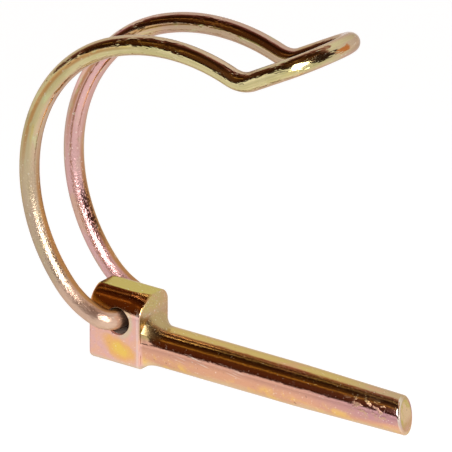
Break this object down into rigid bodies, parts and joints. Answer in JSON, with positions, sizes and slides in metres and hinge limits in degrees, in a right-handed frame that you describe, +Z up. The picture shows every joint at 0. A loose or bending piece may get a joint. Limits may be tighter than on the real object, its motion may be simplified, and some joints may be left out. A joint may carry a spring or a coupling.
{
  "type": "lynch pin",
  "caption": "Headed round pin with a bowed wire bail that swings over the tip of the shank and locks the pin in a cross hole.",
  "frame": {"origin": "on the shank's axis, where its plain round starts at the foot of the head's fillet", "axes": "+X along the shank towards its tip, +Y along the bail's hinge, +Z up, towards the open bail"},
  "size_m": [0.0855, 0.0188, 0.0755],
  "materials": {
    "pin_plating": "yellow zinc plating over steel, glossy, with gold, pink and olive tints and fine scratches",
    "wire_plating": "yellow zinc plating over drawn wire, glossy, pale gold and pink with darker streaks along the wire"
  },
  "bodies": {
    "pin": {"pin": "pin_plating"},
    "bail": {"bail": "wire_plating"}
  },
  "joints": [
    {"name": "bail_hinge", "type": "hinge", "parent": "pin", "child": "bail", "pos_m": [-0.0069, 0, 0.0048], "axis": [0, 1, 0], "range_deg": [-120, 60]}
  ]
}
